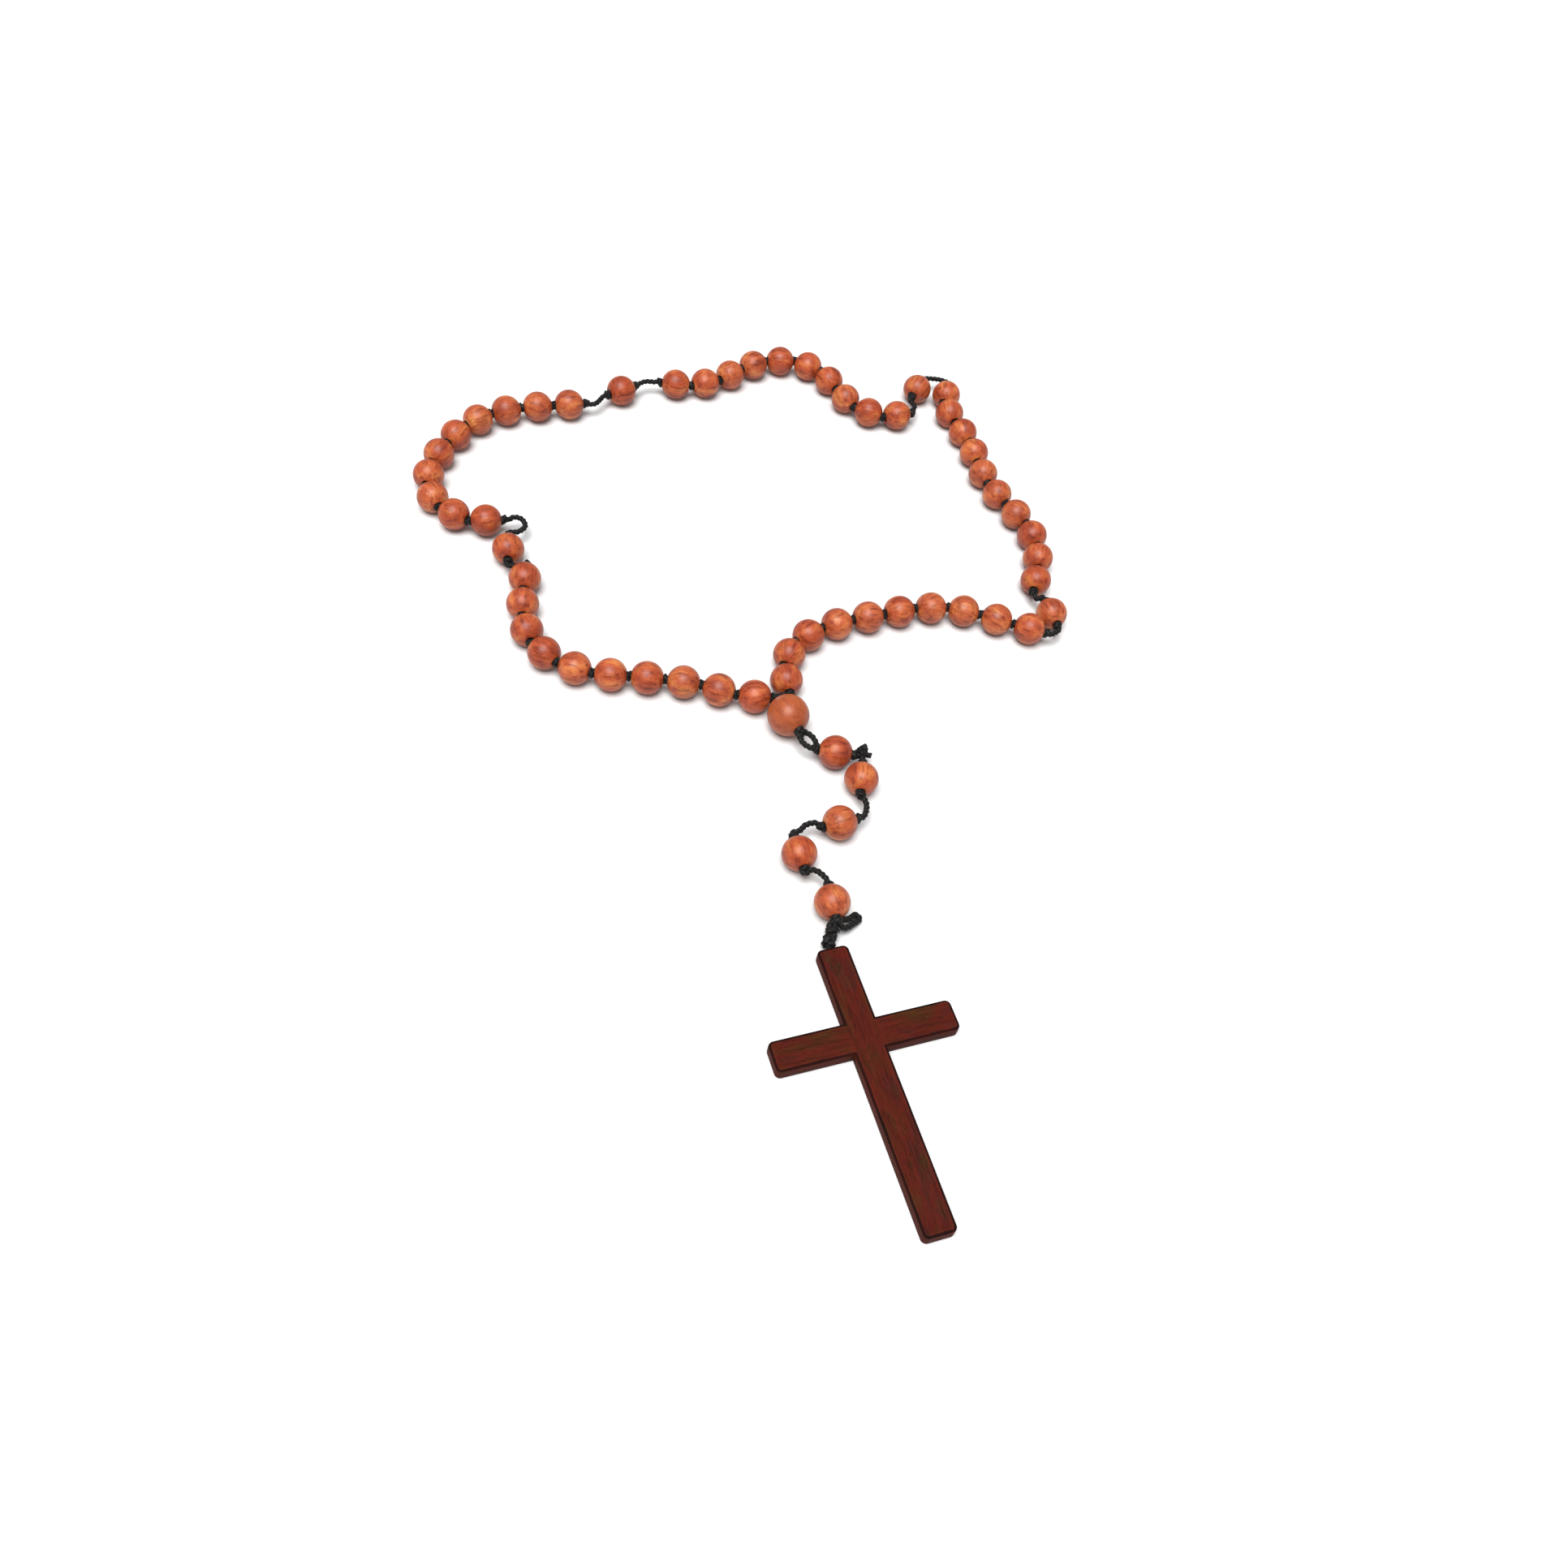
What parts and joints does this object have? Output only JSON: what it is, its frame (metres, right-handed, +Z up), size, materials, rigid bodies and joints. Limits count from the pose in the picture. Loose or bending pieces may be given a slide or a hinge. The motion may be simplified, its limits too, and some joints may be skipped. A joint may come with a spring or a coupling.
{
  "type": "rosary",
  "caption": "Knotted-cord rosary laid flat: a closed loop of round wooden beads in groups, a larger centre bead, a short pendant of beads and a plain flat wooden cross.",
  "frame": {"origin": "on the table, under the middle of the whole rosary's box as it lies", "axes": "+Z up from the table, -Y towards the cross, +Y towards the far side of the closed loop, +X to the right seen from the cross"},
  "size_m": [0.1716, 0.254, 0.01],
  "materials": {
    "bead_wood": "satin, fine mottled grain",
    "large_bead_wood": "smooth satin",
    "cord": "black twisted cotton",
    "cross_wood": "dark reddish satin"
  },
  "bodies": {
    "centre": {"centre_cord": "cord"},
    "large_bead": {"centre_large_bead": "large_bead_wood"},
    "decade_1a": {"decade_1a_beads": "bead_wood", "decade_1a_cord": "cord"},
    "decade_1b": {"decade_1b_beads": "bead_wood", "decade_1b_cord": "cord"},
    "decade_1c": {"decade_1c_beads": "bead_wood", "decade_1c_cord": "cord"},
    "decade_2a": {"decade_2a_beads": "bead_wood", "decade_2a_cord": "cord"},
    "decade_2b": {"decade_2b_beads": "bead_wood", "decade_2b_cord": "cord"},
    "decade_2c": {"decade_2c_beads": "bead_wood", "decade_2c_cord": "cord"},
    "decade_3a": {"decade_3a_beads": "bead_wood", "decade_3a_cord": "cord"},
    "decade_3b": {"decade_3b_beads": "bead_wood", "decade_3b_cord": "cord"},
    "decade_3c": {"decade_3c_beads": "bead_wood", "decade_3c_cord": "cord"},
    "decade_4a": {"decade_4a_beads": "bead_wood", "decade_4a_cord": "cord"},
    "decade_4b": {"decade_4b_beads": "bead_wood", "decade_4b_cord": "cord"},
    "decade_4c": {"decade_4c_beads": "bead_wood", "decade_4c_cord": "cord"},
    "decade_5a": {"decade_5a_beads": "bead_wood", "decade_5a_cord": "cord"},
    "decade_5b": {"decade_5b_beads": "bead_wood", "decade_5b_cord": "cord"},
    "decade_5c": {"decade_5c_beads": "bead_wood", "decade_5c_cord": "cord"},
    "our_father_1": {"our_father_1_cord": "cord"},
    "our_father_bead_1": {"our_father_1_bead": "bead_wood"},
    "our_father_2": {"our_father_2_cord": "cord"},
    "our_father_bead_2": {"our_father_2_bead": "bead_wood"},
    "our_father_3": {"our_father_3_cord": "cord"},
    "our_father_bead_3": {"our_father_3_bead": "bead_wood"},
    "our_father_4": {"our_father_4_cord": "cord"},
    "our_father_bead_4": {"our_father_4_bead": "bead_wood"},
    "doubled": {"doubled_cord": "cord"},
    "pendant_1": {"pendant_1_cord": "cord"},
    "pendant_bead_1": {"pendant_1_bead": "bead_wood"},
    "pendant_2": {"pendant_2_cord": "cord"},
    "pendant_bead_2": {"pendant_2_bead": "bead_wood"},
    "pendant_3": {"pendant_3_cord": "cord"},
    "pendant_bead_3": {"pendant_3_bead": "bead_wood"},
    "pendant_4": {"pendant_4_cord": "cord"},
    "pendant_bead_4": {"pendant_4_bead": "bead_wood"},
    "pendant_5": {"pendant_5_cord": "cord"},
    "pendant_bead_5": {"pendant_5_bead": "bead_wood"},
    "tail": {"tail_cord": "cord"},
    "cross": {"cross": "cross_wood", "cross_cord": "cord"}
  },
  "joints": [
    {"name": "loop_left_fold", "type": "hinge", "parent": "centre", "child": "decade_1a", "pos_m": [0.01733, -0.00669, 0.004], "axis": [0, 0, 1], "range_deg": [-12, 12]},
    {"name": "loop_knot_01", "type": "hinge", "parent": "decade_1a", "child": "decade_1b", "pos_m": [-0.00827, -0.00818, 0.004], "axis": [0, 0, 1], "range_deg": [-8.04, 8.04]},
    {"name": "loop_knot_02", "type": "hinge", "parent": "decade_1b", "child": "decade_1c", "pos_m": [-0.04123, -0.00612, 0.004], "axis": [0, 0, 1], "range_deg": [-1.77, 1.77]},
    {"name": "loop_knot_03", "type": "hinge", "parent": "decade_1c", "child": "our_father_1", "pos_m": [-0.04924, 0.0181, 0.004], "axis": [0, 0, 1], "range_deg": [-7.12, 7.12]},
    {"name": "loop_knot_04", "type": "hinge", "parent": "our_father_1", "child": "decade_2a", "pos_m": [-0.05917, 0.03181, 0.004], "axis": [0, 0, 1], "range_deg": [-7.71, 7.71]},
    {"name": "loop_knot_05", "type": "hinge", "parent": "decade_2a", "child": "decade_2b", "pos_m": [-0.08109, 0.03768, 0.004], "axis": [0, 0, 1], "range_deg": [-6.82, 6.82]},
    {"name": "loop_knot_06", "type": "hinge", "parent": "decade_2b", "child": "decade_2c", "pos_m": [-0.07393, 0.06997, 0.004], "axis": [0, 0, 1], "range_deg": [-10.77, 10.77]},
    {"name": "loop_knot_07", "type": "hinge", "parent": "decade_2c", "child": "our_father_2", "pos_m": [-0.05129, 0.08217, 0.004], "axis": [0, 0, 1], "range_deg": [-6.39, 6.39]},
    {"name": "loop_right_fold", "type": "hinge", "parent": "centre", "child": "decade_5c", "pos_m": [0.02099, -0.00431, 0.004], "axis": [0, 0, 1], "range_deg": [-12, 12]},
    {"name": "loop_knot_18", "type": "hinge", "parent": "decade_5c", "child": "decade_5b", "pos_m": [0.02508, 0.01883, 0.004], "axis": [0, 0, 1], "range_deg": [-8.39, 8.39]},
    {"name": "loop_knot_17", "type": "hinge", "parent": "decade_5b", "child": "decade_5a", "pos_m": [0.0551, 0.03531, 0.004], "axis": [0, 0, 1], "range_deg": [-6.92, 6.92]},
    {"name": "loop_knot_16", "type": "hinge", "parent": "decade_5a", "child": "our_father_4", "pos_m": [0.08083, 0.03381, 0.004], "axis": [0, 0, 1], "range_deg": [-3.92, 3.92]},
    {"name": "loop_knot_15", "type": "hinge", "parent": "our_father_4", "child": "decade_4c", "pos_m": [0.07663, 0.04777, 0.004], "axis": [0, 0, 1], "range_deg": [-0.69, 0.69]},
    {"name": "loop_knot_14", "type": "hinge", "parent": "decade_4c", "child": "decade_4b", "pos_m": [0.073, 0.0727, 0.004], "axis": [0, 0, 1], "range_deg": [-4.26, 4.26]},
    {"name": "loop_knot_13", "type": "hinge", "parent": "decade_4b", "child": "decade_4a", "pos_m": [0.05482, 0.10125, 0.004], "axis": [0, 0, 1], "range_deg": [-11.76, 11.76]},
    {"name": "loop_knot_12", "type": "hinge", "parent": "decade_4a", "child": "our_father_3", "pos_m": [0.04633, 0.12431, 0.004], "axis": [0, 0, 1], "range_deg": [-4.85, 4.85]},
    {"name": "loop_knot_11", "type": "hinge", "parent": "our_father_3", "child": "decade_3c", "pos_m": [0.03677, 0.10821, 0.004], "axis": [0, 0, 1], "range_deg": [-3.39, 3.39]},
    {"name": "loop_knot_10", "type": "hinge", "parent": "decade_3c", "child": "decade_3b", "pos_m": [0.01478, 0.11149, 0.004], "axis": [0, 0, 1], "range_deg": [-6.47, 6.47]},
    {"name": "loop_knot_09", "type": "hinge", "parent": "decade_3b", "child": "decade_3a", "pos_m": [-0.01322, 0.11128, 0.004], "axis": [0, 0, 1], "range_deg": [-11.45, 11.45]},
    {"name": "doubled_cord_lift", "type": "hinge", "parent": "centre", "child": "doubled", "pos_m": [0.02524, -0.01575, 0.005], "axis": [-0.5675, -0.8234, 0], "range_deg": [0, 75]},
    {"name": "pendant_1_swing", "type": "hinge", "parent": "doubled", "child": "pendant_1", "pos_m": [0.03005, -0.01907, 0.004], "axis": [0, 0, 1], "range_deg": [-20, 25]},
    {"name": "pendant_2_swing", "type": "hinge", "parent": "pendant_1", "child": "pendant_2", "pos_m": [0.04033, -0.01709, 0.004], "axis": [0, 0, 1], "range_deg": [-5, 30]},
    {"name": "pendant_3_swing", "type": "hinge", "parent": "pendant_2", "child": "pendant_3", "pos_m": [0.04171, -0.02898, 0.004], "axis": [0, 0, 1], "range_deg": [-25, 20]},
    {"name": "pendant_4_swing", "type": "hinge", "parent": "pendant_3", "child": "pendant_4", "pos_m": [0.03461, -0.04034, 0.004], "axis": [0, 0, 1], "range_deg": [-15, 20]},
    {"name": "pendant_5_swing", "type": "hinge", "parent": "pendant_4", "child": "pendant_5", "pos_m": [0.03265, -0.05259, 0.004], "axis": [0, 0, 1], "range_deg": [-15, 12]},
    {"name": "cross_tail_swing", "type": "hinge", "parent": "pendant_5", "child": "tail", "pos_m": [0.0413, -0.06323, 0.004], "axis": [0, 0, 1], "range_deg": [-20, 15]},
    {"name": "cross_lift", "type": "hinge", "parent": "tail", "child": "cross", "pos_m": [0.04063, -0.06806, 0.0015], "axis": [-0.8829, -0.4695, 0], "range_deg": [0, 60]},
    {"name": "large_bead_spin", "type": "hinge", "parent": "centre", "child": "large_bead", "pos_m": [0.02183, -0.01169, 0.005], "axis": [0.6428, -0.766, 0], "continuous": true},
    {"name": "our_father_1_spin", "type": "hinge", "parent": "our_father_1", "child": "our_father_bead_1", "pos_m": [-0.05517, 0.02231, 0.004], "axis": [-0.2588, 0.9659, 0], "continuous": true},
    {"name": "our_father_2_spin", "type": "hinge", "parent": "our_father_2", "child": "our_father_bead_2", "pos_m": [-0.04317, 0.09081, 0.004], "axis": [0.7071, 0.7071, 0], "continuous": true},
    {"name": "our_father_3_spin", "type": "hinge", "parent": "our_father_3", "child": "our_father_bead_3", "pos_m": [0.03733, 0.11981, 0.004], "axis": [0.2588, 0.9659, 0], "continuous": true},
    {"name": "our_father_4_spin", "type": "hinge", "parent": "our_father_4", "child": "our_father_bead_4", "pos_m": [0.08183, 0.04131, 0.004], "axis": [0.4226, -0.9063, 0], "continuous": true},
    {"name": "pendant_1_spin", "type": "hinge", "parent": "pendant_1", "child": "pendant_bead_1", "pos_m": [0.03433, -0.01869, 0.004], "axis": [0.9962, 0.0872, 0], "continuous": true},
    {"name": "pendant_2_spin", "type": "hinge", "parent": "pendant_2", "child": "pendant_bead_2", "pos_m": [0.04133, -0.02469, 0.004], "axis": [0.0872, -0.9962, 0], "continuous": true},
    {"name": "pendant_3_spin", "type": "hinge", "parent": "pendant_3", "child": "pendant_bead_3", "pos_m": [0.03833, -0.03819, 0.004], "axis": [-0.866, -0.5, 0], "continuous": true},
    {"name": "pendant_4_spin", "type": "hinge", "parent": "pendant_4", "child": "pendant_bead_4", "pos_m": [0.03083, -0.04869, 0.004], "axis": [0.4226, -0.9063, 0], "continuous": true},
    {"name": "pendant_5_spin", "type": "hinge", "parent": "pendant_5", "child": "pendant_bead_5", "pos_m": [0.03983, -0.05919, 0.004], "axis": [0.342, -0.9397, 0], "continuous": true}
  ],
  "couplings": [
    {"joint": "loop_knot_01", "follows": "loop_right_fold", "ratio": 0.6701},
    {"joint": "loop_knot_02", "follows": "loop_left_fold", "ratio": -0.1472},
    {"joint": "loop_knot_03", "follows": "loop_right_fold", "ratio": 0.5935},
    {"joint": "loop_knot_04", "follows": "loop_left_fold", "ratio": -0.6427},
    {"joint": "loop_knot_05", "follows": "loop_right_fold", "ratio": -0.5682},
    {"joint": "loop_knot_06", "follows": "loop_left_fold", "ratio": 0.8975},
    {"joint": "loop_knot_07", "follows": "loop_right_fold", "ratio": -0.5322},
    {"joint": "loop_knot_18", "follows": "loop_left_fold", "ratio": 0.6991},
    {"joint": "loop_knot_17", "follows": "loop_right_fold", "ratio": -0.5766},
    {"joint": "loop_knot_16", "follows": "loop_left_fold", "ratio": 0.3265},
    {"joint": "loop_knot_15", "follows": "loop_right_fold", "ratio": -0.0571},
    {"joint": "loop_knot_14", "follows": "loop_left_fold", "ratio": -0.3549},
    {"joint": "loop_knot_13", "follows": "loop_right_fold", "ratio": 0.9798},
    {"joint": "loop_knot_12", "follows": "loop_left_fold", "ratio": -0.4043},
    {"joint": "loop_knot_11", "follows": "loop_right_fold", "ratio": -0.2826},
    {"joint": "loop_knot_10", "follows": "loop_left_fold", "ratio": 0.5387},
    {"joint": "loop_knot_09", "follows": "loop_right_fold", "ratio": -0.9541}
  ]
}
